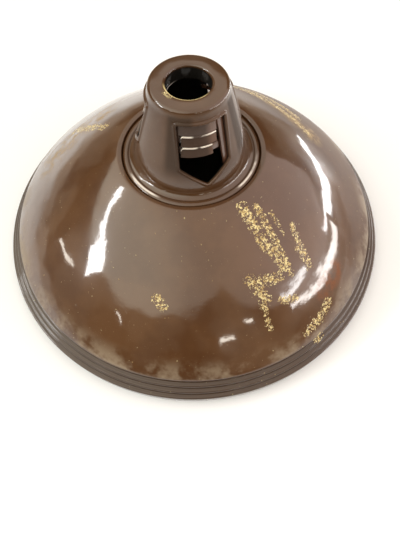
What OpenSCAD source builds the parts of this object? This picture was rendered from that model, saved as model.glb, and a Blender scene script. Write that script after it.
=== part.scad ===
// Vented dome lamp shade of pressed sheet steel.
// A ribbed, wired-edge dome carries a tapered neck with three shield-shaped vents.
// Behind each vent a stepped louvre stands in the legs of a conical baffle.
// The rim rests on the plane z = 0 and the axis of the shade is Z.
// The first vent faces -Y.

/* [Sheet] */
// Thickness of the dome and neck sheet
sheet = 1; // [0.7:0.1:1.2]
// Thickness of the baffle and louvre sheet
thin_sheet = 0.8; // [0.6:0.1:1]

/* [Rim] */
// Overall diameter of the shade at its rim
rim_d = 254; // [205:1:320]
// Diameter of the wire in the curled edge
wire_d = 3; // [2:0.1:4]
// Radial clearance between the wire and the curl around it
wire_clearance = 0.05; // [0.02:0.01:0.15]
// Height of the straight skirt above the table
skirt_h = 9.6; // [8:0.1:14]
// Number of ribs above the skirt
rib_count = 3; // [1:1:4]
// Height of each rib
rib_rise = 3.2; // [2.6:0.1:4]
// Inward step of each rib
rib_run = 2.87; // [2.5:0.01:4]
// Radius in the groove under each rib
groove_r = 0.8; // [0.4:0.1:1]

/* [Dome] */
// Height of the crown ring at the top of the dome
crown_h = 76; // [60:1:100]
// Width from the bead's outside to the top of the crown ring
crown_w = 2.7; // [2.2:0.1:4]
// Slope of the dome where it leaves the ribs, in degrees
foot_slope = 50; // [40:1:60]
// Slope of the dome where it meets the crown ring, in degrees
crown_slope = 20; // [12:1:28]
// Length over which the dome keeps its lower slope
foot_pull = 20; // [12:1:30]
// Length over which the dome keeps its upper slope
crown_pull = 25; // [12:1:32]
// Depth of the seat inside the crown ring
seat_depth = 3.2; // [2.9:0.1:4]
// Depth of the shallow valley between the crown ring and the neck's bead
valley_depth = 0.8; // [0.8:0.1:1.6]

/* [Neck] */
// Height of the neck above the crown ring
neck_h = 44; // [40:1:60]
// Width of the neck's foot, from the cone to the outside of its bead
foot_w = 6.5; // [6.3:0.1:9]
// Width of the bead, from its outside to the groove inside it
bead_w = 3.9; // [3.7:0.1:4.2]
// Drop of the bead's top below the crown ring
bead_drop = 0.6; // [0:0.1:1]
// Diameter of the neck where its cone starts
cone_foot_d = 64.6; // [54:0.2:80]
// Diameter of the neck at its top, measured to the sharp corner
cone_top_d = 38.4; // [36:0.2:46]
// Radius that blends the neck into its foot
foot_blend_r = 4.5; // [3:0.5:5]
// Radius of the rounded top edge
top_edge_r = 2.2; // [1.6:0.1:3]

/* [Lampholder hole] */
// Diameter of the hole that the lampholder passes through
hole_d = 22.2; // [18:0.1:26]
// Depth of the turned-down collar round the hole
collar_depth = 7.4; // [5:0.1:10]

/* [Vents] */
// Number of vents round the neck
vent_count = 3; // [2:1:3]
// Width of a vent at its top
vent_top_w = 23.4; // [16:0.2:24]
// Width of a vent at its shoulders
vent_low_w = 26.2; // [18:0.2:27]
// Height of the pointed part below it
vent_point_h = 9; // [6:0.1:9.5]
// Distance from the top of the neck down to the vent
vent_top_gap = 6.8; // [5:0.1:9]
// Distance from the foot of the cone up to the vent's point
vent_foot_gap = 6; // [5:0.1:10]
// Radius of the vent's corners
vent_corner_r = 1.2; // [0.6:0.1:2]
// Width of the raised border round a vent
border_w = 1.8; // [1:0.1:2.2]
// Height of the raised border
border_h = 0.8; // [0.4:0.1:1.2]

/* [Baffle and louvres] */
// Clearance between the neck and the baffle inside it
baffle_gap = 0.4; // [0.2:0.1:0.8]
// Turn of the baffle against the vents, in degrees
baffle_turn = -4.7; // [-6:0.1:6]
// Angle that each baffle opening covers, in degrees
opening_angle = 51; // [40:1:56]
// Number of equal rows in the straight-sided part of a vent
louvre_rows = 4; // [3:1:5]
// Angle of the gap at a louvre's end, in degrees
louvre_end_gap = 2.6; // [1.5:0.1:4]
// Angle by which the lower louvre stops short of the upper one, in degrees
lower_setback = 7.5; // [0:0.5:10]
// Height of the rounded lip along a louvre's top
lip_d = 1.4; // [1:0.1:2]
// Distance that the lip stands out past the louvre's face
lip_step = 0.6; // [0.2:0.1:0.9]
// Angle that a louvre's strap laps behind each leg, in degrees
strap_lap = 6; // [4:0.5:8]

/* [Hidden] */
vent_ids = [for (i = [1:vent_count]) i];

// Smoothness of turned shapes and of the small arcs in their outlines
turn_fn = 180;
arc_steps = 8;

shell_colour = "#5b4038";
inner_colour = "#6a4d43";
wire_colour = "#8a8a86";

rim_r = rim_d / 2;
curl_r = wire_d / 2 + wire_clearance + sheet;
curl_start = 110;
curl_end = 350;
crest_r = sheet + 0.4;
ribs_r = rim_r - rib_count * rib_run;
ribs_top = skirt_h + rib_count * rib_rise;

cone_foot_r = cone_foot_d / 2;
cone_top_r = cone_top_d / 2;
foot_drop = 0.4;
foot_z = crown_h - foot_drop;
top_z = crown_h + neck_h;
bead_r = cone_foot_r + foot_w;
bead_top = crown_h - bead_drop;
bead_edge_r = sheet + 1;
bead_slope_w = 1.1;
bead_slope_r = sheet + 0.2;
groove_drop = 0.8;
bead_groove_r = 0.4;

// The dome's crown ring, and the seat and upturned lip that carry the neck
crown_r = bead_r + crown_w;
crown_edge_r = sheet + 1;
seat_z = crown_h - seat_depth;
seat_edge_r = 0.4;
bead_gap = 0.35;
valley_w = 0.9;
valley_r = sheet + 0.2;
lip_clearance = seat_edge_r + 0.05;
lip_out_r = bead_r - sheet - lip_clearance;
lip_top_z = bead_top - sheet - lip_clearance;

cone_slope = (cone_foot_r - cone_top_r) / (top_z - foot_z);
hole_r = hole_d / 2;
hole_edge_r = sheet + 0.3;

vent_top_z = top_z - vent_top_gap;
point_z = foot_z + vent_foot_gap;
shoulder_z = point_z + vent_point_h;
louvre_pitch = (vent_top_z - shoulder_z) / louvre_rows;
vent_step = 360 / vent_count;
reach = bead_r;

// Straight distance through a sheet that leans with the cone
lean = sqrt(1 + cone_slope * cone_slope);
baffle_out = (sheet + baffle_gap) * lean;
baffle_in = baffle_out + thin_sheet * lean;
strap_in = baffle_in + thin_sheet * lean;
baffle_top_z = top_z - sheet;
baffle_low_z = point_z;
baffle_edge_r = thin_sheet + 1.2;
collar_out_r = hole_r + sheet;
baffle_fit = hole_edge_r - sheet + 0.05;
louvre_top_z = vent_top_z - louvre_pitch;
strap_margin = 1.2;
clip = 0.01;

// Outer radius of the neck's cone at height z
function cone_r(z) = cone_top_r + cone_slope * (top_z - z);

// Points of an arc about c, from angle a to angle b
function arc(c, r, a, b, n = arc_steps) =
    [for (i = [0:n]) let (t = a + (b - a) * i / n) c + r * [cos(t), sin(t)]];

// Point at t on a cubic curve
function cubic(p, t) =
    pow(1 - t, 3) * p[0] + 3 * pow(1 - t, 2) * t * p[1]
    + 3 * (1 - t) * t * t * p[2] + pow(t, 3) * p[3];

function unit(v) = v / norm(v);
function flat2(v) = [v[0], v[1]];
function left_of(v) = [-v[1], v[0]];

// The arc that rounds corner b, given as [x, y, radius], between its neighbours a and c
function corner(a, b, c) =
    let (
        u = unit(flat2(a) - flat2(b)),
        v = unit(flat2(c) - flat2(b)),
        half = acos(u * v) / 2,
        centre = flat2(b) + unit(u + v) * b[2] / sin(half),
        p = flat2(b) + u * b[2] / tan(half),
        q = flat2(b) + v * b[2] / tan(half),
        from = atan2(p[1] - centre[1], p[0] - centre[0]),
        swing = atan2(q[1] - centre[1], q[0] - centre[0]) - from,
        turn = swing > 180 ? swing - 360 : swing < -180 ? swing + 360 : swing
    )
    b[2] == 0 ? [flat2(b)] : arc(centre, b[2], from, from + turn);

// An open outline through the vertices, each rounded to its own radius
function rounded(v) = [
    for (i = [0:len(v) - 1])
        each i == 0 || i == len(v) - 1 ? [flat2(v[i])] : corner(v[i - 1], v[i], v[i + 1])
];

// The same for a closed outline
function rounded_loop(v) = [
    for (i = [0:len(v) - 1])
        each corner(v[(i + len(v) - 1) % len(v)], v[i], v[(i + 1) % len(v)])
];

// Direction square to the outline at point i, to the left of its run
function square_at(p, i) =
    let (
        before = unit(p[max(i, 1)] - p[max(i, 1) - 1]),
        after = unit(p[min(i, len(p) - 2) + 1] - p[min(i, len(p) - 2)]),
        mid = unit(before + after)
    )
    left_of(mid) / (mid * before);

// A strip of thickness t to the left of the outline p
function strip(p, t) = concat(
    p,
    [for (i = [len(p) - 1:-1:0]) p[i] + t * square_at(p, i)]
);

// Outer outline of the dome, from the end of its curled edge up to the lip inside the neck's bead
function dome_outline() = let (
    foot = [ribs_r, ribs_top],
    crown = [crown_r, crown_h],
    curve = [
        foot,
        foot + foot_pull * [-cos(foot_slope), sin(foot_slope)],
        crown - crown_pull * [-cos(crown_slope), sin(crown_slope)],
        crown
    ],
    curve_steps = 24
) concat(
    arc([rim_r - curl_r, curl_r], curl_r, curl_start, curl_end, 4 * arc_steps),
    rounded(concat(
        [[rim_r, curl_r]],
        [[rim_r, skirt_h, crest_r]],
        [for (i = [1:rib_count]) each [
            [rim_r - i * rib_run, skirt_h + (i - 1) * rib_rise, groove_r],
            [rim_r - i * rib_run, skirt_h + i * rib_rise, crest_r]
        ]],
        [for (i = [1:curve_steps - 1]) each [concat(cubic(curve, i / curve_steps), [0])]],
        [
            [crown_r, crown_h, crown_edge_r],
            [bead_r + valley_w, crown_h - valley_depth, valley_r],
            [bead_r + bead_gap, seat_z, seat_edge_r],
            [lip_out_r, seat_z, seat_edge_r],
            [lip_out_r, lip_top_z]
        ]
    ))
);

// Outer outline of the neck, from the foot of its bead up and over into the collar
function neck_outline() = rounded([
    [bead_r, seat_z],
    [bead_r, bead_top, bead_edge_r],
    [bead_r - bead_w + bead_slope_w, bead_top, bead_slope_r],
    [bead_r - bead_w, bead_top - groove_drop, bead_groove_r],
    [cone_foot_r, foot_z, foot_blend_r],
    [cone_top_r, top_z, top_edge_r],
    [hole_r, top_z, hole_edge_r],
    [hole_r, top_z - collar_depth]
]);

// Shield outline of a vent, grown by m on every side
function shield(m) = let (
    low = vent_low_w / 2,
    slant = atan(vent_point_h / low)
) rounded_loop([
    [-vent_top_w / 2 - m, vent_top_z + m, vent_corner_r + m],
    [-low - m, shoulder_z - m * tan((90 - slant) / 2), vent_corner_r + m],
    [0, point_z - m / cos(slant), vent_corner_r + m],
    [low + m, shoulder_z - m * tan((90 - slant) / 2), vent_corner_r + m],
    [vent_top_w / 2 + m, vent_top_z + m, vent_corner_r + m]
]);

// A shield-shaped punch that runs from the axis out through the neck, towards -Y
module shield_punch(m) {
    rotate([90, 0, 0])
        linear_extrude(reach)
            polygon(shield(m));
}

// Turns its children to each vent in turn
module at_vents() {
    for (i = vent_ids)
        rotate((i - 1) * vent_step)
            children();
}

// A band of cone between two heights, parallel to the neck, a to b inwards from its outer face
module cone_band(a, b, low, high) {
    rotate_extrude($fn = turn_fn)
        polygon([
            [cone_r(low) - a, low],
            [cone_r(high) - a, high],
            [cone_r(high) - b, high],
            [cone_r(low) - b, low]
        ]);
}

// A wedge from the axis outwards, from angle a to angle b counted from -Y, between two heights
module wedge(a, b, low, high) {
    translate([0, 0, low])
        linear_extrude(high - low)
            polygon(concat([[0, 0]], arc([0, 0], 2 * reach, a - 90, b - 90)));
}

// Ribbed dome with its curled edge
module dome() {
    color(shell_colour)
        rotate_extrude($fn = turn_fn)
            polygon(strip(dome_outline(), sheet));
}

// Stiffening wire inside the curled edge
module rim_wire() {
    color(wire_colour)
        rotate_extrude($fn = turn_fn)
            translate([rim_r - curl_r, curl_r])
                circle(d = wire_d, $fn = 32);
}

// Tapered neck with its bead, raised vent borders and turned-down collar
module neck() {
    color(shell_colour)
        difference() {
            union() {
                rotate_extrude($fn = turn_fn)
                    polygon(strip(neck_outline(), sheet));
                intersection() {
                    cone_band(-border_h, sheet, foot_z, vent_top_z + border_w + 1);
                    union()
                        at_vents() shield_punch(border_w);
                }
            }
            at_vents() shield_punch(0);
        }
}

// Conical baffle that hangs from the collar, open in front of each vent
module baffle() {
    top_r = cone_r(baffle_top_z) - baffle_out;
    low_r = cone_r(baffle_low_z) - baffle_out;
    color(inner_colour)
        difference() {
            rotate_extrude($fn = turn_fn)
                polygon(strip(rounded([
                    [low_r, baffle_low_z],
                    [top_r, baffle_top_z, baffle_edge_r],
                    [collar_out_r + baffle_fit, baffle_top_z]
                ]), thin_sheet));
            rotate(baffle_turn)
                at_vents()
                    wedge(-opening_angle / 2, opening_angle / 2, baffle_low_z - 1, louvre_top_z);
        }
}

// One louvre step: a strip in the baffle's opening, its rounded lip, and the strap that laps behind the legs
module louvre(high, right_setback) {
    low = high - louvre_pitch;
    half = opening_angle / 2;
    strap_low = low + strap_margin;
    strap_high = high - strap_margin;
    color(inner_colour)
        rotate(baffle_turn) {
            intersection() {
                union() {
                    cone_band(baffle_out, baffle_in + clip, low, high - lip_d / 2);
                    rotate_extrude($fn = turn_fn)
                        translate([cone_r(high) - baffle_out + lip_step - lip_d / 2, high - lip_d / 2])
                            circle(d = lip_d, $fn = 24);
                }
                wedge(-half + louvre_end_gap, half - louvre_end_gap - right_setback, low, high);
            }
            intersection() {
                cone_band(baffle_in, strap_in, strap_low, strap_high);
                wedge(-half - strap_lap, half + strap_lap, strap_low, strap_high);
            }
        }
}

dome();
rim_wire();
neck();
baffle();
for (i = vent_ids) {
    rotate((i - 1) * vent_step) louvre(louvre_top_z, 0);
    rotate((i - 1) * vent_step) louvre(louvre_top_z - louvre_pitch, lower_setback);
}
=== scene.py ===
"""A vented dome lamp shade of pressed sheet steel, in glossy dark brown lacquer with worn places.

The outlines of the turned sheets follow the design's own sizes. Geometry Nodes turn them round the
shade's axis and set the vent sectors round the neck.
"""

from math import acos, asin, atan, atan2, cos, degrees, hypot, pi, radians, sin, sqrt, tan

import bmesh
import bpy
from mathutils import Matrix, Vector


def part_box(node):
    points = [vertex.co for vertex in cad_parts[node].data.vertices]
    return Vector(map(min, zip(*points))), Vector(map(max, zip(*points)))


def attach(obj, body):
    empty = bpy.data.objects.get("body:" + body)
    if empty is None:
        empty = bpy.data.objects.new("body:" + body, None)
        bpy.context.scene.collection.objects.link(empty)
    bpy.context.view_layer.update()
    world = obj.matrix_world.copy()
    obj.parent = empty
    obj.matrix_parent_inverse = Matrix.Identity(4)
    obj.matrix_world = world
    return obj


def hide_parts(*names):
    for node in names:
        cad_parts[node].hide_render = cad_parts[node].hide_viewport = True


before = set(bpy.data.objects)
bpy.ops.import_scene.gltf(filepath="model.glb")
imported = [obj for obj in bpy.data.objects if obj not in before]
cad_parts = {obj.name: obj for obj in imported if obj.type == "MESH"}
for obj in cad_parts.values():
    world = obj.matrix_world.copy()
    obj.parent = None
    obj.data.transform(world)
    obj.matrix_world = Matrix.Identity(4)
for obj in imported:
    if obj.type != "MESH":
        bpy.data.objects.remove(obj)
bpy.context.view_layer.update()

MM = 0.001
BODY = "root"

# ---- Sizes, in millimetres ----

SHEET = 1.0
THIN_SHEET = 0.8

RIM_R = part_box("dome")[1].x / MM
TOP_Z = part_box("neck")[1].z / MM

# Dome: the curled edge, the skirt, the ribs and the convex sheet up to the crown ring
CROWN_H = 76.0
SKIRT_H = 9.6
RIB_COUNT = 3
RIB_RISE = 3.2
RIB_RUN = 2.87
GROOVE_R = 0.8
CREST_R = SHEET + 0.4
WIRE_R = 1.5
WIRE_PLAY = 0.05
CURL_R = WIRE_R + WIRE_PLAY + SHEET
RIBS_R = RIM_R - RIB_COUNT * RIB_RUN
RIBS_TOP = SKIRT_H + RIB_COUNT * RIB_RISE
FOOT_SLOPE = 50
FOOT_PULL = 20
CROWN_SLOPE = 20
CROWN_PULL = 25

# Neck: its cone, the bead at its foot, and the hole with its collar
CONE_FOOT_R = 32.3
CONE_TOP_R = 19.2
FOOT_Z = CROWN_H - 0.4
FOOT_BLEND_R = 4.5
BEAD_R = CONE_FOOT_R + 6.5
BEAD_TOP = CROWN_H - 0.6
BEAD_EDGE_R = SHEET + 1
BEAD_INNER_R = SHEET + 0.2
BEAD_FLAT = 2.8
BEAD_W = 3.9
BEAD_DROP = 0.8
BEAD_CREST_IN = 1.9
CONE_SLOPE = (CONE_FOOT_R - CONE_TOP_R) / (TOP_Z - FOOT_Z)
CONE_TILT = atan(CONE_SLOPE)
TOP_EDGE_R = 2.2
HOLE_R = 11.1
HOLE_EDGE_R = 1.3
COLLAR_DEPTH = 7.4

# Where the neck's bead sits on the dome: the crown ring, its valley, the seat and the lip inside
CROWN_R = BEAD_R + 2.7
CROWN_EDGE_R = SHEET + 1
VALLEY_W = 0.5
VALLEY_DEPTH = 0.6
VALLEY_R = 0.4
SEAM_GAP = 0.1
SEAM_R = 0.3
SEAT_Z = CROWN_H - 3.2
SEAT_R = 0.4
LIP_PLAY = 0.45
LIP_R = BEAD_R - SHEET - LIP_PLAY
LIP_TOP = BEAD_TOP - SHEET - LIP_PLAY

# Vents
VENT_COUNT = 3
VENT_TURN = 360 / VENT_COUNT
VENT_TOP_Z = TOP_Z - 6.8
VENT_TOP_HALF = 11.7
VENT_LOW_HALF = 13.1
POINT_Z = FOOT_Z + 6.0
SHOULDER_Z = POINT_Z + 9.0
VENT_CORNER_R = 1.2
BORDER_H = 0.8

# Baffle and louvres
BAFFLE_OUT = SHEET + 0.4
BAFFLE_TURN = -4.7
HOOD_BEND_R = THIN_SHEET + 1.2
HOOD_CLEAR = 0.35
OPENING = 51.0
LOUVRE_PITCH = (VENT_TOP_Z - SHOULDER_Z) / 4
LOUVRE_TOP_Z = VENT_TOP_Z - LOUVRE_PITCH
LOUVRE_END_GAP = 2.6
LOUVRE_LOW_GAP = 0.1
LOWER_SETBACK = 7.5
UPPER_CORNER = 0.8
LOWER_CORNER = 1.8
LOUVRE_EDGE = 0.12
LIP_D = 1.4
LIP_STEP = 0.6
STRAP_LAP = 6.0
STRAP_MARGIN = 1.2
STRAP_GAP = 0.02
STRAP_EDGE_R = 0.15

# Points nearer than this are one point
MERGE = 0.01

# Steps round the shade: every sheet shares them, so joined parts meet point to point
TURN_STEPS = 240
STEP = 360 / TURN_STEPS


# ---- Outlines, as (radius, height) points ----

def cone_r(z):
    """Outer radius of the neck's cone at height z."""
    return CONE_TOP_R + CONE_SLOPE * (TOP_Z - z)


def arc(centre, radius, start, end, steps):
    """Points of an arc between two angles in degrees."""
    angles = [radians(start + (end - start) * i / steps) for i in range(steps + 1)]
    return [Vector((centre[0] + radius * cos(a), centre[1] + radius * sin(a))) for a in angles]


def rounded_corner(before, corner, after, radius, steps=6):
    """The arc that rounds a corner between its two neighbours."""
    if radius == 0:
        return [Vector(corner)]
    corner = Vector(corner)
    u = (Vector(before) - corner).normalized()
    v = (Vector(after) - corner).normalized()
    half = acos(max(-1.0, min(1.0, u.dot(v)))) / 2
    centre = corner + (u + v).normalized() * radius / sin(half)
    p = corner + u * radius / tan(half) - centre
    q = corner + v * radius / tan(half) - centre
    start = degrees(atan2(p.y, p.x))
    turn = (degrees(atan2(q.y, q.x)) - start + 180) % 360 - 180
    return arc(centre, radius, start, start + turn, steps)


def rounded(vertices, closed=False, steps=6):
    """An outline through (x, y, corner radius) vertices."""
    points = []
    count = len(vertices)
    for i, (x, y, radius) in enumerate(vertices):
        if not closed and i in (0, count - 1):
            points.append(Vector((x, y)))
        else:
            before = vertices[i - 1][:2]
            after = vertices[(i + 1) % count][:2]
            points += rounded_corner(before, (x, y), after, radius, steps)
    return points


def offset_outline(points, distance):
    """The outline moved to the left of its run."""
    moved = []
    for i, p in enumerate(points):
        before = (points[max(i, 1)] - points[max(i, 1) - 1]).normalized()
        last = min(i, len(points) - 2)
        after = (points[last + 1] - points[last]).normalized()
        middle = (before + after).normalized()
        square = Vector((-middle.y, middle.x)) / middle.dot(before)
        moved.append(p + square * distance)
    return moved


def strip(points, thickness, closed=True):
    """A sheet's outline: out along the points and back along the offset ones."""
    loop = list(points) + offset_outline(points, thickness)[::-1]
    return loop + [loop[0]] if closed else loop


def cubic(p, t):
    """Point at t on a cubic curve through four control points."""
    s = 1 - t
    return p[0] * s**3 + p[1] * 3 * s * s * t + p[2] * 3 * s * t * t + p[3] * t**3


def dome_outline():
    """From the end of the curled edge, over the ribs and the dome, to the lip inside the neck's bead."""
    foot = Vector((RIBS_R, RIBS_TOP))
    crown = Vector((CROWN_R, CROWN_H))
    foot_slope, crown_slope = radians(FOOT_SLOPE), radians(CROWN_SLOPE)
    curve = [
        foot,
        foot + FOOT_PULL * Vector((-cos(foot_slope), sin(foot_slope))),
        crown - CROWN_PULL * Vector((-cos(crown_slope), sin(crown_slope))),
        crown,
    ]
    curve_steps = 40
    vertices = [(RIM_R, CURL_R, 0), (RIM_R, SKIRT_H, CREST_R)]
    for i in range(1, RIB_COUNT + 1):
        r = RIM_R - i * RIB_RUN
        vertices.append((r, SKIRT_H + (i - 1) * RIB_RISE, GROOVE_R))
        vertices.append((r, SKIRT_H + i * RIB_RISE, CREST_R))
    for i in range(1, curve_steps):
        vertices.append((*cubic(curve, i / curve_steps), 0))
    vertices += [
        (CROWN_R, CROWN_H, CROWN_EDGE_R),
        (BEAD_R + VALLEY_W, CROWN_H - VALLEY_DEPTH, VALLEY_R),
        (BEAD_R + SEAM_GAP, SEAT_Z, SEAM_R),
        (LIP_R, SEAT_Z, SEAT_R),
        (LIP_R, LIP_TOP, 0),
    ]
    curl = arc((RIM_R - CURL_R, CURL_R), CURL_R, 110, 350, 24)
    return curl + rounded(vertices)


# ---- Geometry Nodes: sheets turned round the axis, and sectors repeated round it ----

class NodeMaker:
    """Adds nodes to a tree and joins them, left to right."""

    def __init__(self, tree):
        self.tree = tree
        self.column = 0

    def add(self, kind, inputs=None, **settings):
        made = self.tree.nodes.new(kind)
        self.column += 1
        made.location = (180 * self.column, 0)
        for key, value in settings.items():
            setattr(made, key, value)
        for key, value in (inputs or {}).items():
            self.feed(made.inputs[key], value)
        return made

    def feed(self, socket, value):
        if isinstance(value, bpy.types.NodeSocket):
            self.tree.links.new(value, socket)
        else:
            socket.default_value = value

    def math(self, operation, *values):
        made = self.add("ShaderNodeMath", operation=operation)
        for socket, value in zip(made.inputs, values):
            self.feed(socket, value)
        return made.outputs[0]

    def plus(self, a, b):
        return self.math("ADD", a, b)

    def minus(self, a, b):
        return self.math("SUBTRACT", a, b)

    def times(self, *values):
        product = values[0]
        for value in values[1:]:
            product = self.math("MULTIPLY", product, value)
        return product

    def most(self, *values):
        largest = values[0]
        for value in values[1:]:
            largest = self.math("MAXIMUM", largest, value)
        return largest

    def far_from(self, value, middle):
        return self.math("ABSOLUTE", self.minus(value, middle))

    def vector_math(self, operation, *values):
        made = self.add("ShaderNodeVectorMath", operation=operation)
        for socket, value in zip(made.inputs, values):
            self.feed(socket, value)
        scalar = operation in ("DOT_PRODUCT", "DISTANCE", "LENGTH")
        return made.outputs["Value" if scalar else "Vector"]


def geometry_tree(name, sizes):
    """An empty Geometry Nodes tree with a geometry input, named size inputs and a material input."""
    tree = bpy.data.node_groups.new(name, "GeometryNodeTree")
    tree.interface.new_socket("Geometry", in_out="OUTPUT", socket_type="NodeSocketGeometry")
    tree.interface.new_socket("Geometry", in_out="INPUT", socket_type="NodeSocketGeometry")
    for size, kind in sizes.items():
        tree.interface.new_socket(size, in_out="INPUT", socket_type=kind)
    tree.interface.new_socket("Material", in_out="INPUT", socket_type="NodeSocketMaterial")
    return tree, NodeMaker(tree), tree.nodes.new("NodeGroupInput").outputs


def end_tree(make, geometry, sizes):
    """Merges, smooths, realizes and paints the result."""
    merged = make.add("GeometryNodeMergeByDistance", {"Geometry": geometry, "Distance": MERGE * MM})
    smooth = make.add("GeometryNodeSetShadeSmooth", {0: merged.outputs[0]})
    real = make.add("GeometryNodeRealizeInstances", {0: smooth.outputs[0]})
    painted = make.add("GeometryNodeSetMaterial", {0: real.outputs[0], "Material": sizes["Material"]})
    make.add("NodeGroupOutput", {0: painted.outputs[0]})


def turning_tree():
    """Turns an outline of points in the XZ plane round the Z axis, whole or in part."""
    tree, make, sizes = geometry_tree("turned_sheet", {
        "Steps": "NodeSocketInt",
        "Start angle": "NodeSocketFloat",
        "Step angle": "NodeSocketFloat",
    })
    count = make.add("GeometryNodeAttributeDomainSize", {0: sizes["Geometry"]}).outputs["Point Count"]
    columns = make.math("ADD", sizes["Steps"], 1)
    grid = make.add("GeometryNodeMeshGrid", {"Vertices X": count, "Vertices Y": columns})
    index = make.add("GeometryNodeInputIndex").outputs[0]
    row = make.math("FLOOR", make.math("DIVIDE", make.math("ADD", index, 0.5), columns))
    column = make.math("SUBTRACT", index, make.math("MULTIPLY", row, columns))
    place = make.add("GeometryNodeInputPosition").outputs[0]
    sampled = make.add("GeometryNodeSampleIndex", data_type="FLOAT_VECTOR")
    make.feed(sampled.inputs["Geometry"], sizes["Geometry"])
    make.feed(sampled.inputs["Value"], place)
    make.feed(sampled.inputs["Index"], row)
    outline = make.add("ShaderNodeSeparateXYZ", {0: sampled.outputs[0]}).outputs
    turned = make.math("MULTIPLY", column, sizes["Step angle"])
    angle = make.math("ADD", turned, sizes["Start angle"])
    x = make.math("MULTIPLY", outline["X"], make.math("COSINE", angle))
    y = make.math("MULTIPLY", outline["X"], make.math("SINE", angle))
    point = make.add("ShaderNodeCombineXYZ", {"X": x, "Y": y, "Z": outline["Z"]}).outputs[0]
    placed = make.add("GeometryNodeSetPosition", {"Geometry": grid.outputs[0], "Position": point})
    end_tree(make, placed.outputs[0], sizes)
    return tree


def repeating_tree():
    """Sets copies of a sector evenly round the Z axis and merges them where they meet."""
    tree, make, sizes = geometry_tree("sectors_round_axis", {"Count": "NodeSocketInt"})
    points = make.add("GeometryNodePoints", {"Count": sizes["Count"]}).outputs[0]
    index = make.add("GeometryNodeInputIndex").outputs[0]
    share = make.math("DIVIDE", index, sizes["Count"])
    turn = make.add("ShaderNodeCombineXYZ", {"Z": make.math("MULTIPLY", share, 2 * pi)}).outputs[0]
    rotation = make.add("FunctionNodeEulerToRotation", {0: turn}).outputs[0]
    copies = make.add("GeometryNodeInstanceOnPoints", {
        "Points": points, "Instance": sizes["Geometry"], "Rotation": rotation,
    }).outputs[0]
    real = make.add("GeometryNodeRealizeInstances", {0: copies}).outputs[0]
    end_tree(make, real, sizes)
    return tree


TURNING = turning_tree()
REPEATING = repeating_tree()


def grown(mesh, tree, values):
    """The plain mesh that a Geometry Nodes tree makes of a mesh."""
    holder = bpy.data.objects.new("grown", mesh)
    bpy.context.scene.collection.objects.link(holder)
    modifier = holder.modifiers.new("Shape", "NODES")
    modifier.node_group = tree
    for item in tree.interface.items_tree:
        if item.item_type == "SOCKET" and item.in_out == "INPUT" and item.name in values:
            modifier[item.identifier] = values[item.name]
    graph = bpy.context.evaluated_depsgraph_get()
    result = bpy.data.meshes.new_from_object(holder.evaluated_get(graph))
    holder.modifiers.clear()
    bpy.data.objects.remove(holder)
    return result


def turned(outline, material, start=0.0, sweep=360.0):
    """A mesh made by turning an outline, from a start angle in degrees through a sweep."""
    mesh = bpy.data.meshes.new("outline")
    mesh.from_pydata([(p[0] * MM, 0, p[1] * MM) for p in outline], [], [])
    steps = max(1, round(abs(sweep) / STEP))
    return grown(mesh, TURNING, {
        "Steps": steps,
        "Start angle": radians(start),
        "Step angle": radians(sweep / steps),
        "Material": material,
    })


def repeated(mesh, count, material):
    return grown(mesh, REPEATING, {"Count": count, "Material": material})


def finished_piece(name, meshes, material, sharp=38, edge=0.0, turn=0.0):
    """One object of several meshes: merged, closed, turned outwards and shaded, with its edges eased."""
    work = bmesh.new()
    for mesh in meshes:
        work.from_mesh(mesh)
    bmesh.ops.remove_doubles(work, verts=work.verts, dist=MERGE * MM)
    open_edges = [e for e in work.edges if e.is_boundary]
    if open_edges:
        bmesh.ops.holes_fill(work, edges=open_edges)
    bmesh.ops.recalc_face_normals(work, faces=work.faces)
    if turn:
        work.transform(Matrix.Rotation(radians(turn), 4, "Z"))
    mesh = bpy.data.meshes.new(name)
    work.to_mesh(mesh)
    work.free()
    mesh.materials.clear()
    mesh.materials.append(material)
    for face in mesh.polygons:
        face.use_smooth = True
        face.material_index = 0
    piece = bpy.data.objects.new(name, mesh)
    bpy.context.scene.collection.objects.link(piece)
    if edge:
        bevel = piece.modifiers.new("Eased edges", "BEVEL")
        bevel.width = edge * MM
        bevel.segments = 2
        bevel.limit_method = "ANGLE"
        bevel.angle_limit = radians(40)
    mesh.set_sharp_from_angle(angle=radians(sharp))
    return piece


# ---- The neck: a turned top and foot, and three sectors that each hold a vent ----

SECTOR_TOP_Z = 117.4
SECTOR_LOW_Z = 79.0
SECTOR_HALF = VENT_TURN / 2
TOP_RUN = round(2 * SECTOR_HALF / STEP)
SIDE_RUN = 44

# The border's cross-section, as (distance out from the vent's edge, height above the cone)
BORDER_SECTION = [
    (0.0, -0.55), (0.02, -0.1), (0.05, 0.3), (0.15, 0.55), (0.35, 0.73), (0.6, BORDER_H),
    (0.85, 0.77), (1.1, 0.64), (1.3, 0.42), (1.45, 0.2), (1.62, 0.05), (1.85, 0.0),
]


def shield_runs(m):
    """The vent's outline grown by m, as five runs of points between its corners' middles."""
    slant = atan((SHOULDER_Z - POINT_Z) / VENT_LOW_HALF)
    shoulder = SHOULDER_Z - m * tan((pi / 2 - slant) / 2)
    corner_r = VENT_CORNER_R + m
    steps = 8
    loop = rounded([
        (-VENT_TOP_HALF - m, VENT_TOP_Z + m, corner_r),
        (VENT_TOP_HALF + m, VENT_TOP_Z + m, corner_r),
        (VENT_LOW_HALF + m, shoulder, corner_r),
        (0, POINT_Z - m / cos(slant), corner_r),
        (-VENT_LOW_HALF - m, shoulder, corner_r),
    ], closed=True, steps=steps)
    middles = [i * (steps + 1) + steps // 2 for i in range(5)]
    twice = loop + loop
    return [twice[a:(b if b > a else b + len(loop)) + 1]
            for a, b in zip(middles, middles[1:] + middles[:1])]


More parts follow.
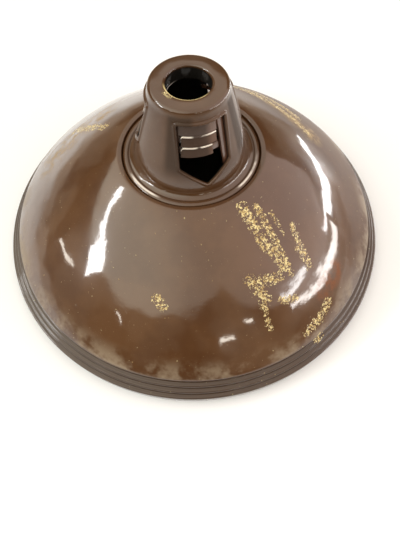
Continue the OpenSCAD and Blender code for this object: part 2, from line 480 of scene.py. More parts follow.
def resampled(points, count):
    """Evenly spaced points along a run, without its last one."""
    lengths = [0.0]
    for a, b in zip(points, points[1:]):
        lengths.append(lengths[-1] + (b - a).length)
    result = []
    k = 0
    for i in range(count):
        target = lengths[-1] * i / count
        while lengths[k + 1] < target:
            k += 1
        share = (target - lengths[k]) / (lengths[k + 1] - lengths[k])
        result.append(points[k].lerp(points[k + 1], share))
    return result


def shield_loop(m):
    """The grown vent outline as (angle in degrees from the vent's middle, height) points."""
    half_low = TOP_RUN // 2
    loop = []
    for run, count in zip(shield_runs(m), (TOP_RUN, SIDE_RUN, half_low, half_low, SIDE_RUN)):
        loop += resampled(run, count)
    return [(degrees(asin(p.x / cone_r(p.y))), p.y) for p in loop]


def sector_frame():
    """The sector's own edge, point for point beside the vent outline."""
    top = [(-SECTOR_HALF + STEP * i, SECTOR_TOP_Z) for i in range(TOP_RUN)]
    fall = (SECTOR_TOP_Z - SECTOR_LOW_Z) / SIDE_RUN
    right = [(SECTOR_HALF, SECTOR_TOP_Z - fall * i) for i in range(SIDE_RUN)]
    low = [(SECTOR_HALF - STEP * i, SECTOR_LOW_Z) for i in range(TOP_RUN)]
    left = [(-SECTOR_HALF, SECTOR_LOW_Z + fall * i) for i in range(SIDE_RUN)]
    return top + right + low + left


def on_cone(angle, z, height):
    """A point at an angle from -Y and a height above the cone's outer face."""
    r = cone_r(z) + height * cos(CONE_TILT)
    a = radians(angle)
    return (r * sin(a) * MM, -r * cos(a) * MM, (z + height * sin(CONE_TILT)) * MM)


def vent_sector():
    """One third of the neck's cone, outer and inner faces, round its vent."""
    edge = sector_frame()
    spread = 10
    outer = [(shield_loop(m), h) for m, h in BORDER_SECTION]
    last = outer[-1][0]
    for i in range(1, spread + 1):
        t = i / spread
        ring = [(p[0] + (q[0] - p[0]) * t, p[1] + (q[1] - p[1]) * t) for p, q in zip(last, edge)]
        outer.append((ring, 0.0))
    first = shield_loop(0.0)
    inner = []
    for i in range(spread, -1, -1):
        t = i / spread
        ring = [(p[0] + (q[0] - p[0]) * t, p[1] + (q[1] - p[1]) * t) for p, q in zip(first, edge)]
        inner.append((ring, -SHEET))
    rings = inner + outer
    verts = [on_cone(a, z, h) for ring, h in rings for a, z in ring]
    n = len(edge)
    faces = []
    for i in range(len(rings) - 1):
        for k in range(n):
            j = (k + 1) % n
            faces.append((i * n + k, i * n + j, (i + 1) * n + j, (i + 1) * n + k))
    mesh = bpy.data.meshes.new("vent_sector")
    mesh.from_pydata(verts, [], faces)
    return mesh


def make_neck(material):
    top = rounded([
        (cone_r(SECTOR_TOP_Z), SECTOR_TOP_Z, 0),
        (CONE_TOP_R, TOP_Z, TOP_EDGE_R),
        (HOLE_R, TOP_Z, HOLE_EDGE_R),
        (HOLE_R, TOP_Z - COLLAR_DEPTH, 0),
    ])
    foot = rounded([
        (BEAD_R, SEAT_Z, 0),
        (BEAD_R, BEAD_TOP, BEAD_EDGE_R),
        (BEAD_R - BEAD_FLAT, BEAD_TOP, BEAD_INNER_R),
        (BEAD_R - BEAD_W, BEAD_TOP - BEAD_DROP, SEAT_R),
        (CONE_FOOT_R, FOOT_Z, FOOT_BLEND_R),
        (cone_r(SECTOR_LOW_Z), SECTOR_LOW_Z, 0),
    ], steps=10)
    top_sheet = strip(top, SHEET, closed=False)
    foot_sheet = strip(foot[::-1], -SHEET, closed=False)
    inward = Vector((-SHEET * cos(CONE_TILT), -SHEET * sin(CONE_TILT)))
    top_sheet[-1] = top[0] + inward
    foot_sheet[-1] = foot[-1] + inward
    ring = repeated(vent_sector(), VENT_COUNT, material)
    meshes = [turned(top_sheet, material), turned(foot_sheet, material), ring]
    return finished_piece("neck_shell", meshes, material)


def make_dome(material):
    return finished_piece("dome_shell", [turned(strip(dome_outline(), SHEET), material)], material)


def make_rim_wire(material):
    section = arc((RIM_R - CURL_R, CURL_R), WIRE_R, 0, 360, 20)
    return finished_piece("rim_wire_ring", [turned(section, material)], material)


# ---- The baffle and the louvres ----

def band_section(outer, inner, low, high, ease=STRAP_EDGE_R):
    """Rounded cross-section of a strip of cone, outer and inner given as depths under the neck's face."""
    lean = 1 / cos(CONE_TILT)
    return rounded([
        (cone_r(low) - outer * lean, low, ease),
        (cone_r(high) - outer * lean, high, ease),
        (cone_r(high) - inner * lean, high, ease),
        (cone_r(low) - inner * lean, low, ease),
    ], closed=True, steps=3)


def make_baffle(material):
    lean = 1 / cos(CONE_TILT)
    out = BAFFLE_OUT * lean
    top_z = TOP_Z - SHEET
    hood = strip(rounded([
        (cone_r(LOUVRE_TOP_Z) - out, LOUVRE_TOP_Z, 0),
        (cone_r(top_z) - out, top_z, HOOD_BEND_R),
        (HOLE_R + SHEET + HOOD_CLEAR, top_z, 0),
    ]), THIN_SHEET)
    leg = strip([
        Vector((cone_r(POINT_Z) - out, POINT_Z)),
        Vector((cone_r(LOUVRE_TOP_Z) - out, LOUVRE_TOP_Z)),
    ], THIN_SHEET)
    meshes = [turned(hood, material)]
    for i in range(VENT_COUNT):
        start = OPENING / 2 - 90 + i * VENT_TURN
        meshes.append(turned(leg, material, start, VENT_TURN - OPENING))
    return finished_piece("vent_baffle", meshes, material, turn=BAFFLE_TURN)


def ease_left_end(mesh, start, high, low, corner):
    """Rounds the upper corner at a strip's left end."""
    for vert in mesh.vertices:
        x, y, z = (c / MM for c in vert.co)
        r = hypot(x, y)
        along = radians(degrees(atan2(y, x)) - start) * r
        if along >= corner or z <= low:
            continue
        short = corner - max(0.0, along)
        limit = high - corner + sqrt(max(0.0, corner**2 - short**2))
        new_z = low + (z - low) * (limit - low) / (high - low)
        new_r = r + CONE_SLOPE * (z - new_z)
        vert.co = Vector((x * new_r / r, y * new_r / r, new_z)) * MM


def make_louvre(name, vent, high, setback, material):
    """A strip with a rolled upper edge, and the strap behind it that laps the baffle's legs."""
    lean = 1 / cos(CONE_TILT)
    low = high - LOUVRE_PITCH
    outer = BAFFLE_OUT
    inner = outer + THIN_SHEET
    lip_r = LIP_D / 2
    lip_z = high - lip_r
    lip_r_out = cone_r(high) - outer * lean + LIP_STEP - lip_r
    lip = arc((lip_r_out, lip_z), lip_r, -75, 195, 20)
    section = [
        Vector((cone_r(low) - outer * lean, low + LOUVRE_LOW_GAP)),
        Vector((cone_r(high) - outer * lean, lip_z - lip_r)),
        *lip,
        Vector((cone_r(high) - inner * lean, lip_z - lip_r)),
        Vector((cone_r(low) - inner * lean, low + LOUVRE_LOW_GAP)),
    ]
    half = OPENING / 2
    start = -half + LOUVRE_END_GAP
    sweep = 2 * (half - LOUVRE_END_GAP) - setback
    strip_mesh = turned(section + [section[0]], material, start - 90, sweep)
    ease_left_end(strip_mesh, start - 90, high, low, LOWER_CORNER if setback else UPPER_CORNER)
    strap = band_section(inner + STRAP_GAP, inner + THIN_SHEET, low + STRAP_MARGIN, high - STRAP_MARGIN)
    lap = half + STRAP_LAP
    strap_mesh = turned(strap + [strap[0]], material, -lap - 90, 2 * lap)
    turn = BAFFLE_TURN + vent * VENT_TURN
    return finished_piece(name, [strip_mesh, strap_mesh], material, turn=turn, edge=LOUVRE_EDGE)


# ---- Materials ----

def new_material(name):
    material = bpy.data.materials.new(name)
    material.use_nodes = True
    tree = material.node_tree
    tree.nodes.clear()
    make = NodeMaker(tree)
    shader = make.add("ShaderNodeBsdfPrincipled")
    output = make.add("ShaderNodeOutputMaterial")
    tree.links.new(shader.outputs[0], output.inputs[0])
    return material, make, shader


def smooth_step(make, value, low, high):
    """0 below low, 1 above high, smooth between them."""
    made = make.add("ShaderNodeMapRange", {
        "Value": value, "From Min": low, "From Max": high,
    }, interpolation_type="SMOOTHSTEP")
    return made.outputs[0]


def step_mm(make, value, low, high):
    """The smooth step of a length, with its limits in millimetres."""
    return smooth_step(make, value, low * MM, high * MM)


def noise(make, place, scale, detail=3.0, rough=0.55):
    """Noise with features about 1/scale metres across."""
    made = make.add("ShaderNodeTexNoise", {
        "Vector": place, "Scale": scale, "Detail": detail, "Roughness": rough,
    })
    return made.outputs[0]


def ruffled(make, place, scale):
    """Places moved by up to half a millimetre, so that what is drawn on them gets ragged edges."""
    made = make.add("ShaderNodeTexNoise", {"Vector": place, "Scale": scale, "Detail": 2.0})
    shift = make.vector_math("SUBTRACT", made.outputs[1], (0.5, 0.5, 0.5))
    return make.vector_math("ADD", place, make.vector_math("MULTIPLY", shift, (MM, MM, MM)))


def mix(make, share, a, b):
    made = make.add("ShaderNodeMix", data_type="RGBA")
    make.feed(made.inputs[0], share)
    make.feed(made.inputs[6], a)
    make.feed(made.inputs[7], b)
    return made.outputs[2]


def near_line(make, place, start, end, reach):
    """1 along the line between two places in millimetres, falling to 0 at the reach from it."""
    a = Vector(start) * MM
    run = Vector(end) * MM - a
    rel = make.vector_math("SUBTRACT", place, tuple(a))
    along = make.math("DIVIDE", make.vector_math("DOT_PRODUCT", rel, tuple(run)), run.length_squared)
    clamped = make.math("MINIMUM", make.most(along, 0.0), 1.0)
    foot = make.add("ShaderNodeVectorMath", {0: tuple(run)}, operation="SCALE")
    make.feed(foot.inputs["Scale"], clamped)
    gap = make.vector_math("DISTANCE", rel, foot.outputs[0])
    core = 0.35
    return step_mm(make, gap, reach, core * reach)


def near_lines(make, place, lines):
    """1 near any of the lines, each (one end, other end, reach) in millimetres."""
    return make.most(0.0, *[near_line(make, place, *line) for line in lines])


def in_arcs(make, azimuth, arcs, core):
    """1 in the core share of any of the arcs, each (azimuth, half width) in degrees, 0 outside them."""
    masks = []
    for centre, half in arcs:
        gap = make.far_from(azimuth, radians(centre))
        masks.append(smooth_step(make, gap, radians(half), radians(core * half)))
    return make.most(0.0, *masks)


def facing(make, place, radius, way):
    """How far a place lies along a level direction, as a share of its radius."""
    return make.math("DIVIDE", make.vector_math("DOT_PRODUCT", place, (*way, 0)), radius)


def object_place(make):
    return make.add("ShaderNodeTexCoord").outputs["Object"]


def round_axis(make, place):
    """Radius from the axis and height, in metres, and azimuth, in radians."""
    parts = make.add("ShaderNodeSeparateXYZ", {0: place}).outputs
    flat = make.add("ShaderNodeCombineXYZ", {"X": parts["X"], "Y": parts["Y"]}).outputs[0]
    azimuth = make.math("ARCTAN2", parts["Y"], parts["X"])
    return make.vector_math("LENGTH", flat), parts["Z"], azimuth


def behind_cone(make, radius, height, depth):
    """How far a place is inside the cone that lies a depth in millimetres under the neck's face."""
    cone = make.minus((cone_r(0) - depth) * MM, make.times(height, CONE_SLOPE))
    return make.minus(cone, radius)


def inside_of(make, radius, height, depth):
    """1 on faces further than the depth, in millimetres, behind the neck's outside, 0 elsewhere."""
    behind = step_mm(make, behind_cone(make, radius, height, 0), depth - 0.1, depth)
    below_top = step_mm(make, height, TOP_Z - 0.6, TOP_Z - 1.8)
    above_foot = step_mm(make, height, FOOT_Z + 1, FOOT_Z + 3)
    return make.times(behind, below_top, above_foot)


def set_bump(make, shader, height, strength, distance):
    """Shapes the lacquer and its clear coat alike. The distance is in millimetres."""
    bump = make.add("ShaderNodeBump", {"Height": height, "Strength": strength, "Distance": distance * MM})
    for socket in ("Normal", "Coat Normal"):
        make.feed(shader.inputs[socket], bump.outputs[0])


# Where the lacquer is rubbed through on the dome: (one end, other end, reach), in millimetres
WORN_STREAKS = [
    ((14, -45, 74), (22, -66, 62), 4.5),
    ((20, -60, 66), (29, -77, 53), 3.6),
    ((22, -46, 72), (33, -80, 50), 3.2),
    ((30, -50, 69), (34, -62, 62), 2.6),
    ((41, -57, 61), (42, -68, 55), 3.4),
    ((42, -68, 55), (46, -78, 48), 4.6),
    ((8, -78, 55), (15, -89, 46), 4.6),
    ((14, -80, 53), (25, -80, 51), 4.4),
    ((12, -88, 47), (14, -103, 36), 3.0),
    ((24, -90, 43), (34, -92, 41), 3.4),
    ((53, -96, 29), (47, -103, 27), 5.0),
    ((47, -103, 27), (36, -108, 26), 4.6),
    ((45, -111, 18), (43, -112, 17), 4.0),
    ((-42, -71, 51), (-40, -76, 49), 4.0),
    ((48, 68, 52), (66, 42, 57), 8.0),
    ((66, 42, 57), (82, 10, 52), 5.0),
    ((64, 60, 48), (84, 30, 48), 6.0),
    ((-43, 39, 69), (-63, 66, 44), 4.0),
]
# Golden-brown patches of thinned lacquer, partly a painted warm reflection; where only its gloss has
# gone; and where it has rusted
THIN_AND_REFLECTION_PLACES = [((50, 66, 50), (84, 12, 51), 16), ((-80, 50, 36), (-45, 62, 56), 20)]
DULL_PLACES = [((92, -64, 34), (108, 0, 33), 36), ((104, 0, 36), (48, 80, 46), 52)]
RUST_PLACES = [((52, -89, 35), (63, -80, 35), 10)]
# A chip beside the neck's hole, and the direction in which the hole's edge is worn
HOLE_CHIP = ((-12.2, -3.5, TOP_Z), (-10.8, -6.5, TOP_Z), 1.9)
HOLE_WEAR_WAY = (-0.55, -0.83)
# Arcs of the neck, as (azimuth, half width) in degrees: painted dark reflections in bands beside the
# vents, and painted highlights on the bead
DARK_REFLECTION_ARCS = ((-119, 21), (-38, 11))
BEAD_HIGHLIGHT_ARCS = ((-152, 20), (-47, 27))

RED_BROWN = (0.075, 0.031, 0.0105, 1)
OLIVE_BROWN = (0.104, 0.048, 0.0185, 1)
# Painted shade and dark reflections: over the ribs, over the whole neck, in two upright bands on the
# neck, and inside the neck and baffle
RIB_DARK_REFLECTION = (0.028, 0.014, 0.006, 1)
NECK_PAINTED_SHADE = (0.02, 0.012, 0.006, 1)
DARK_REFLECTION = (0.025, 0.013, 0.006, 1)
INSIDE_SHADE = (0.006, 0.005, 0.004, 1)
WORN_CREAM = (0.42, 0.29, 0.11, 1)
BRIGHT_CREAM = (0.84, 0.73, 0.38, 1)
# Golden brown of thinned lacquer, partly a painted warm reflection
GILT_AND_REFLECTION = (0.44, 0.30, 0.11, 1)
RUST = (0.20, 0.065, 0.018, 1)
DUST = (0.42, 0.34, 0.24, 1)
HAZE = (0.27, 0.215, 0.15, 1)
# Painted highlight on the collar's low edge and the bead
PAINTED_HIGHLIGHT = (0.95, 0.90, 0.84, 1)


def own_colour(make, place):
    """The lacquer's drift between a red brown and an olive brown, and its colour."""
    drift = smooth_step(make, noise(make, place, 22, 4.0, 0.6), 0.38, 0.64)
    return drift, mix(make, drift, RED_BROWN, OLIVE_BROWN)


def chip_noise(make, place):
    """The coarse noise that gathers chips in clumps, and the same broken up finely."""
    coarse = noise(make, place, 560, 4.0, 0.65)
    fine = noise(make, place, 1900, 2.0, 0.6)
    return coarse, make.plus(make.times(coarse, 0.45), make.times(fine, 0.55))


def fine_dust(make, place, colour):
    """Fine specks of dust in patches."""
    specks = smooth_step(make, noise(make, place, 2100, 2.0, 0.5), 0.70, 0.76)
    patchy = smooth_step(make, noise(make, place, 60, 3.0), 0.4, 0.7)
    return mix(make, make.times(specks, patchy, 0.5), colour, DUST)


def finish_lacquer(make, shader, place, colour, dull, flecks):
    """Sets the gloss, dulled where asked, and the surface: press waves, orange peel and worn places."""
    make.feed(shader.inputs["Base Color"], colour)
    make.feed(shader.inputs["Roughness"], make.plus(0.3, make.times(dull, 0.35)))
    make.feed(shader.inputs["Coat Weight"], make.minus(1.0, make.times(dull, 0.75)))
    shader.inputs["IOR"].default_value = 1.5
    shader.inputs["Specular IOR Level"].default_value = 0.2
    shader.inputs["Coat Roughness"].default_value = 0.07
    shader.inputs["Coat IOR"].default_value = 1.65
    waves = make.times(noise(make, place, 26, 2.0, 0.45), 1.1)
    peel = make.times(noise(make, place, 480, 2.0, 0.5), 0.014)
    depth = make.minus(make.plus(waves, peel), make.times(flecks, 0.05))
    set_bump(make, shader, depth, 1.0, 1.0)


def dome_lacquer():
    """Glossy dark brown lacquer, darkened over the ribs as a painted dark reflection, hazy above them,
    thinned to a golden brown that is partly a painted warm reflection, rusted and chipped.
    """
    material, make, shader = new_material("dome lacquer")
    place = object_place(make)
    height = round_axis(make, place)[1]
    colour = own_colour(make, place)[1]

    # A painted dark reflection over the ribs, golden patches of thinned lacquer partly painted as a warm
    # reflection, rusted places, and places that have lost their gloss
    rib_shade = step_mm(make, height, RIBS_TOP + 2, RIBS_TOP - 3)
    colour = mix(make, make.times(rib_shade, 0.75), colour, RIB_DARK_REFLECTION)
    cloud = smooth_step(make, noise(make, place, 110, 6.0, 0.75), 0.40, 0.62)
    gilt_and_reflection = make.times(near_lines(make, place, THIN_AND_REFLECTION_PLACES), cloud)
    rust = make.times(near_lines(make, place, RUST_PLACES), cloud)
    colour = mix(make, make.times(gilt_and_reflection, 0.5), colour, GILT_AND_REFLECTION)
    colour = mix(make, make.times(rust, 0.85), colour, RUST)
    matt = make.times(near_lines(make, place, DULL_PLACES), 0.9)
    thin = make.most(make.times(gilt_and_reflection, 0.8), make.times(rib_shade, 0.12), matt, make.times(rust, 0.8))

    # Rubbed streaks: small chips, thick in the middle of a streak and scattered at its edges
    coarse = chip_noise(make, place)[0]
    chips = make.add("ShaderNodeTexVoronoi", {
        "Vector": ruffled(make, place, 900), "Scale": 1500.0, "Randomness": 1.0,
    })
    chance = make.add("ShaderNodeSeparateColor", {0: chips.outputs["Color"]}).outputs
    worn = near_lines(make, place, WORN_STREAKS)
    share = make.times(worn, smooth_step(make, coarse, 0.38, 0.58), 0.85)
    stray = make.times(smooth_step(make, coarse, 0.52, 0.62), 0.03)
    share = make.minus(make.most(share, stray), 0.015)
    flecks = smooth_step(make, make.minus(share, chance[0]), -0.01, 0.03)
    tone = mix(make, smooth_step(make, chance[1], 0.3, 0.7), WORN_CREAM, BRIGHT_CREAM)
    colour = mix(make, make.times(flecks, 0.95), colour, tone)
    colour = fine_dust(make, place, colour)

    # A haze of dust just above the ribs
    low = step_mm(make, height, RIBS_TOP + 12, RIBS_TOP + 1)
    clear_of_ribs = step_mm(make, height, RIBS_TOP - 0.5, RIBS_TOP + 1)
    cloudy = smooth_step(make, noise(make, place, 45, 4.0, 0.65), 0.42, 0.62)
    haze = make.times(low, clear_of_ribs, cloudy, 0.8)
    colour = mix(make, haze, colour, HAZE)
    finish_lacquer(make, shader, place, colour, make.most(flecks, haze, thin), flecks)
    return material


def neck_lacquer():
    """The same lacquer on the neck, a little darker as painted shade, with painted dark reflections by
    the vents, painted shade inside, wear at the hole and painted highlights on the collar and bead.
    """
    material, make, shader = new_material("neck lacquer")
    place = object_place(make)
    radius, height, azimuth = round_axis(make, place)
    drift, colour = own_colour(make, place)

    # The whole neck a little darker than the dome as painted shade, painted dark reflections in two
    # upright bands by the vents, and a cone duller than the top
    dark_bands = in_arcs(make, azimuth, DARK_REFLECTION_ARCS, 0.55)
    dark_bands = make.times(dark_bands, step_mm(make, height, TOP_Z - 2, TOP_Z - 4))
    dark_bands = make.times(dark_bands, step_mm(make, height, FOOT_Z + 6.4, FOOT_Z + 16.4))
    upright = make.times(step_mm(make, height, TOP_Z - 2.5, TOP_Z - 5),
                         step_mm(make, height, FOOT_Z + 4.4, FOOT_Z + 12.4))
    colour = mix(make, 0.2, colour, NECK_PAINTED_SHADE)
    colour = mix(make, make.times(dark_bands, 0.7), colour, DARK_REFLECTION)
    thin = make.plus(make.times(upright, 0.55), make.times(dark_bands, 0.4))

    # A cream crescent and a chip worn on the edge of the hole, where the cord was drawn over it
    coarse, broken = chip_noise(make, place)
    flecks = smooth_step(make, broken, 0.74, 0.78)
    side = smooth_step(make, facing(make, place, radius, HOLE_WEAR_WAY), 0.25, 0.75)
    from_edge = make.far_from(radius, (HOLE_R + 0.2) * MM)
    crescent = make.times(side, step_mm(make, from_edge, 1.0, 0.6), smooth_step(make, coarse, 0.28, 0.42))
    chip = make.times(near_line(make, place, *HOLE_CHIP), smooth_step(make, broken, 0.5, 0.56))
    chipped = make.most(crescent, chip)
    colour = mix(make, chipped, colour, BRIGHT_CREAM)
    flecks = make.most(flecks, chipped)
    colour = fine_dust(make, place, colour)

    # Painted shade inside, and painted highlights on the collar's low edge and in places on the bead
    inside = inside_of(make, radius, height, 0.6)
    colour = mix(make, inside, colour, INSIDE_SHADE)
    from_low_edge = make.far_from(height, (TOP_Z - COLLAR_DEPTH) * MM)
    collar = make.times(step_mm(make, from_low_edge, 0.7, 0.3),
                        step_mm(make, radius, HOLE_R + 1.2, HOLE_R + 1.0),
                        smooth_step(make, facing(make, place, radius, (-1, 0)), 0.2, 0.9))
    from_crest = make.far_from(radius, (BEAD_R - BEAD_CREST_IN) * MM)
    bead = make.times(step_mm(make, from_crest, 0.75, 0.3),
                      step_mm(make, height, BEAD_TOP - 1.6, BEAD_TOP - 0.8),
                      in_arcs(make, azimuth, BEAD_HIGHLIGHT_ARCS, 0.5),
                      smooth_step(make, drift, 0.0, 0.5), 0.8)
    colour = mix(make, make.most(collar, bead), colour, PAINTED_HIGHLIGHT)
    finish_lacquer(make, shader, place, colour, make.most(flecks, thin, inside), flecks)
    return material


INNER_RED = (0.085, 0.036, 0.020, 1)
INNER_PINK = (0.115, 0.056, 0.034, 1)
INNER_DUST = (0.35, 0.27, 0.2, 1)
# Painted shade on the left of each vent
LEFT_SIDE_SHADE = (0.02, 0.009, 0.005, 1)
# Painted highlight along the louvres' lips
LIP_HIGHLIGHT = (0.95, 0.90, 0.82, 1)


def inner_lacquer(name, shaded_inside):
    """The baffle's and louvres' lacquer: redder, with painted shade inside the baffle and painted
    highlights on the lips.
    """
    material, make, shader = new_material(name)
    place = object_place(make)
    radius, height, azimuth = round_axis(make, place)
    drift = smooth_step(make, noise(make, place, 90, 4.0, 0.6), 0.35, 0.65)
    colour = mix(make, drift, INNER_RED, INNER_PINK)
    dust = smooth_step(make, noise(make, place, 1300, 3.0, 0.6), 0.62, 0.72)
    colour = mix(make, make.times(dust, 0.25), colour, INNER_DUST)

    # Painted shade on the left two thirds of each vent; local is 0 at the left edge of a vent's third
    forward = make.plus(azimuth, radians(90 + 360 + VENT_TURN / 2))
    local = make.math("MODULO", forward, radians(VENT_TURN))
    left_shade = smooth_step(make, local, radians(VENT_TURN / 2 + 14), radians(VENT_TURN / 2 + 2))
    colour = mix(make, make.times(left_shade, 0.75), colour, LEFT_SIDE_SHADE)
    gloss = make.minus(1.0, make.times(left_shade, 0.6))
    if shaded_inside:
        # Painted shade on the baffle's inside faces
        inside = inside_of(make, radius, height, BAFFLE_OUT + 0.6)
        colour = mix(make, inside, colour, INSIDE_SHADE)
        gloss = make.times(gloss, make.minus(1.0, make.times(inside, 0.8)))
    else:
        # A painted highlight, partly metallic, along each louvre's proud lip
        proud = make.minus(0.0, behind_cone(make, radius, height, BAFFLE_OUT))
        patchy = smooth_step(make, noise(make, place, 120, 2.0), 0.34, 0.5)
        lip_highlight = make.times(step_mm(make, proud, 0.12, 0.3), patchy)
        colour = mix(make, lip_highlight, colour, LIP_HIGHLIGHT)
        make.feed(shader.inputs["Metallic"], make.times(lip_highlight, 0.6))
    make.feed(shader.inputs["Base Color"], colour)
    make.feed(shader.inputs["Roughness"], make.plus(0.28, make.times(dust, 0.2)))
    make.feed(shader.inputs["Coat Weight"], gloss)
    shader.inputs["Coat Roughness"].default_value = 0.12
    shader.inputs["Coat IOR"].default_value = 1.6
    set_bump(make, shader, noise(make, place, 420, 3.0, 0.5), 0.5, 0.06)
    return material


WIRE_GREY = (0.38, 0.37, 0.35, 1)
WIRE_RUST = (0.16, 0.07, 0.03, 1)


def wire_steel():
    """Drawn steel wire, grey, with light rust."""
    material, make, shader = new_material("rim wire steel")
    place = object_place(make)
    rust = smooth_step(make, noise(make, place, 160, 5.0, 0.65), 0.52, 0.68)
    make.feed(shader.inputs["Base Color"], mix(make, rust, WIRE_GREY, WIRE_RUST))
    make.feed(shader.inputs["Metallic"], make.minus(1.0, make.times(rust, 0.8)))
    make.feed(shader.inputs["Roughness"], make.plus(0.32, make.times(rust, 0.45)))
    drawn = noise(make, place, 900, 2.0, 0.5)
    bump = make.add("ShaderNodeBump", {"Height": drawn, "Strength": 0.4, "Distance": 0.05 * MM})
    make.feed(shader.inputs["Normal"], bump.outputs[0])
    return material


# ---- The object ----

def add_piece(piece, node):
    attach(piece, BODY)
    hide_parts(node)


baffle_lacquer = inner_lacquer("baffle lacquer", shaded_inside=True)
louvre_lacquer = inner_lacquer("louvre lacquer", shaded_inside=False)

add_piece(make_dome(dome_lacquer()), "dome")
add_piece(make_neck(neck_lacquer()), "neck")
add_piece(make_rim_wire(wire_steel()), "rim_wire")
add_piece(make_baffle(baffle_lacquer), "baffle")
for vent in range(VENT_COUNT):
    rows = (("upper", LOUVRE_TOP_Z, 0.0), ("lower", LOUVRE_TOP_Z - LOUVRE_PITCH, LOWER_SETBACK))
    for row, high, setback in rows:
        node = f"{row}_louvre_{vent + 1}"
        louvre = make_louvre(f"{row}_louvre_strip_{vent + 1}", vent, high, setback, louvre_lacquer)
        add_piece(louvre, node)


# ---- Floor, light and camera ----

# The floor's half width, and where its painted pool of light begins and ends fading, in metres
FLOOR_HALF = 3.0
PALE_TO = 0.31
DARK_FROM = 0.62
FLOOR_PALE = (0.86, 0.91, 0.97, 1)
FLOOR_BEYOND_LIGHT_POOL = (0.42, 0.37, 0.32, 1)
FLOOR_PAINTED_SHADOW = (0.03, 0.025, 0.02, 1)


def make_floor():
    """A pale floor with a painted pool of light that fades well away from the shade, and a painted shadow
    under it.
    """
    mesh = bpy.data.meshes.new("floor")
    corners = [(x * FLOOR_HALF, y * FLOOR_HALF, 0) for x, y in ((-1, -1), (1, -1), (1, 1), (-1, 1))]
    mesh.from_pydata(corners, [], [(0, 1, 2, 3)])
    floor = bpy.data.objects.new("floor", mesh)
    bpy.context.scene.collection.objects.link(floor)
    material, make, shader = new_material("pale floor")
    away = make.vector_math("LENGTH", object_place(make))
    colour = mix(make, smooth_step(make, away, PALE_TO, DARK_FROM), FLOOR_PALE, FLOOR_BEYOND_LIGHT_POOL)
    # A painted shadow under the shade
    under = step_mm(make, away, RIM_R - 8, RIM_R - 25)
    make.feed(shader.inputs["Base Color"], mix(make, under, colour, FLOOR_PAINTED_SHADOW))
    shader.inputs["Roughness"].default_value = 0.6
    mesh.materials.append(material)


def direction(azimuth, elevation):
    a, e = radians(azimuth), radians(elevation)
    return Vector((cos(a) * cos(e), sin(a) * cos(e), sin(e)))


def panel_light(name, start, end, width, distance, radiance, colour=(1, 1, 1)):
    """A rectangular light seen from the shade between two directions, (azimuth, elevation) in degrees.

    Its width is an angle too, and its brightness is the radiance that a reflection of it shows.
    """
    a, b = direction(*start), direction(*end)
    away = (a + b).normalized()
    along = (b - a).normalized()
    data = bpy.data.lights.new(name, "AREA")
    data.shape = "RECTANGLE"
    data.size = (b - a).length * distance
    data.size_y = radians(width) * distance
    data.energy = radiance * pi * data.size * data.size_y
    data.color = colour
    light = bpy.data.objects.new(name, data)
    target = Vector((0, 0, TOP_Z / 2 * MM))
    turn = Matrix((along, away.cross(along), away)).transposed().to_4x4()
    light.matrix_world = Matrix.Translation(target + away * distance) @ turn
    bpy.context.scene.collection.objects.link(light)


def light_ribbon(name, path, widths, distance, radiance, colour=(1, 1, 1)):
    """A bent window: panels end to end along a path of directions."""
    for i, width in enumerate(widths):
        panel_light(f"{name} {i + 1}", path[i], path[i + 1], width, distance, radiance, colour)


# The light that the room's parts give off, and the colour of its lamps
CEILING = (1.15, 1.01, 0.85, 1)
CEILING_LEFT = (2.04, 1.95, 1.63, 1)
CEILING_RIGHT = (1.45, 1.20, 1.09, 1)
WALL_DARK = (0.08, 0.05, 0.03, 1)
WALL_LIGHT = (0.34, 0.26, 0.18, 1)
LAMP_COLOUR = (1, 0.93, 0.82)


def make_room():
    """A soft room: a pale ceiling, brighter to the left, over dim brown walls."""
    world = bpy.data.worlds.new("room")
    bpy.context.scene.world = world
    world.use_nodes = True
    tree = world.node_tree
    tree.nodes.clear()
    make = NodeMaker(tree)
    way = make.add("ShaderNodeTexCoord").outputs["Generated"]
    parts = make.add("ShaderNodeSeparateXYZ", {0: way}).outputs
    left = make.most(make.times(parts["X"], -1.0), 0.0)
    right = make.times(make.most(parts["X"], 0.0), smooth_step(make, parts["Y"], 0.5, 0.25))

    # The ceiling's edge, as a height on the unit sphere, is lower to the left and to the right
    dip = make.plus(make.times(left, 0.24), make.times(right, 0.46))
    edge = make.minus(parts["Z"], make.minus(0.61, dip))
    above = smooth_step(make, edge, -0.02, 0.03)
    ceiling = mix(make, smooth_step(make, left, 0.0, 0.75), CEILING, CEILING_LEFT)
    ceiling = mix(make, smooth_step(make, right, 0.0, 0.8), ceiling, CEILING_RIGHT)
    blotch = make.add("ShaderNodeTexNoise", {"Vector": way, "Scale": 2.6, "Detail": 3.0}).outputs[0]
    walls = mix(make, smooth_step(make, blotch, 0.46, 0.55), WALL_DARK, WALL_LIGHT)
    glow = make.add("ShaderNodeBackground", {"Color": mix(make, above, walls, ceiling), "Strength": 1.0})
    make.add("ShaderNodeOutputWorld", {0: glow.outputs[0]})


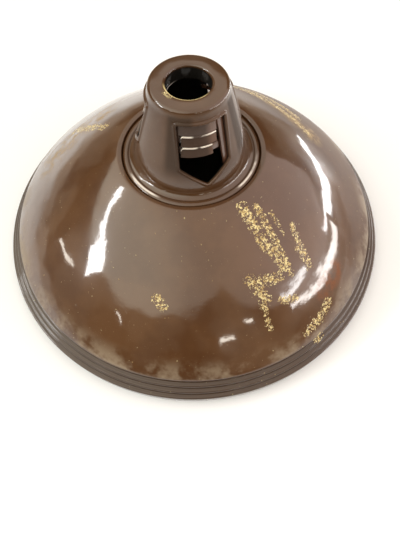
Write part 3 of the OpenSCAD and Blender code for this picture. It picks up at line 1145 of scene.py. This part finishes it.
def make_lights():
    """Windows and lamps: (azimuth, elevation) paths, widths in degrees, distance in metres, radiance."""
    light_ribbon("left window", [(146, 41), (153, 37), (165, 30), (174, 26), (184, 20)],
                 [4.0, 2.6, 3.6, 8.0], 3.0, 17)
    light_ribbon("left low pane", [(157, 7), (173, 13)], [1.6], 3.0, 10, LAMP_COLOUR)
    light_ribbon("right low window", [(32, -7), (18, -4), (5, -1), (-4, 2)], [4.0, 3.4, 3.0], 0.55, 16)
    light_ribbon("right window", [(-4, 2), (-14, 4), (-24, 8), (-38, 12), (-52, 16)],
                 [3.4, 3.8, 3.0, 1.6], 2.0, 15, (1, 0.95, 0.91))
    light_ribbon("right slim pane", [(9, 2), (-11, 10)], [1.8], 3.0, 14, (1, 0.97, 0.97))
    light_ribbon("right slanted pane", [(-33, 17), (-53, 22)], [1.6], 3.0, 14)
    light_ribbon("front lamps", [(-74, 22), (-80, 23)], [1.6], 3.0, 14, LAMP_COLOUR)
    light_ribbon("front low lamps", [(-86, 20), (-93, 21)], [1.6], 3.0, 14, LAMP_COLOUR)
    light_ribbon("side lamps", [(-149, 17), (-155, 19)], [1.2], 3.0, 12, LAMP_COLOUR)


# The camera: angles in degrees, its place as (right, up, back) in rim radii, its sensor in
# millimetres, and the lens's length as a share of the sensor's width
CAMERA_PITCH = 64.59
CAMERA_TURN = -16.5
CAMERA_ROLL = -1.19
CAMERA_PLACE = (0.028, -0.269, 2.309)
SENSOR_WIDTH = 36
LENS_SHARE = 400 / 533


def make_camera():
    """A near view from high in front, turned a little to the left of the first vent."""
    pitch = radians(CAMERA_PITCH)
    right = Vector((1, 0, 0))
    up = Vector((0, sin(pitch), cos(pitch)))
    back = Vector((0, -cos(pitch), sin(pitch)))
    view = Matrix((right, up, back)).transposed()
    place = view @ Vector(CAMERA_PLACE) * RIM_R * MM
    around = Matrix.Rotation(radians(CAMERA_TURN), 4, "Z")
    roll = Matrix.Rotation(radians(CAMERA_ROLL), 4, "Z")
    data = bpy.data.cameras.new("camera")
    data.sensor_width = SENSOR_WIDTH
    data.lens = LENS_SHARE * SENSOR_WIDTH
    camera = bpy.data.objects.new("camera", data)
    camera.matrix_world = around @ Matrix.Translation(place) @ view.to_4x4() @ roll
    bpy.context.scene.collection.objects.link(camera)
    bpy.context.scene.camera = camera


make_floor()
make_room()
make_lights()
make_camera()
bpy.context.scene.view_settings.view_transform = "Standard"
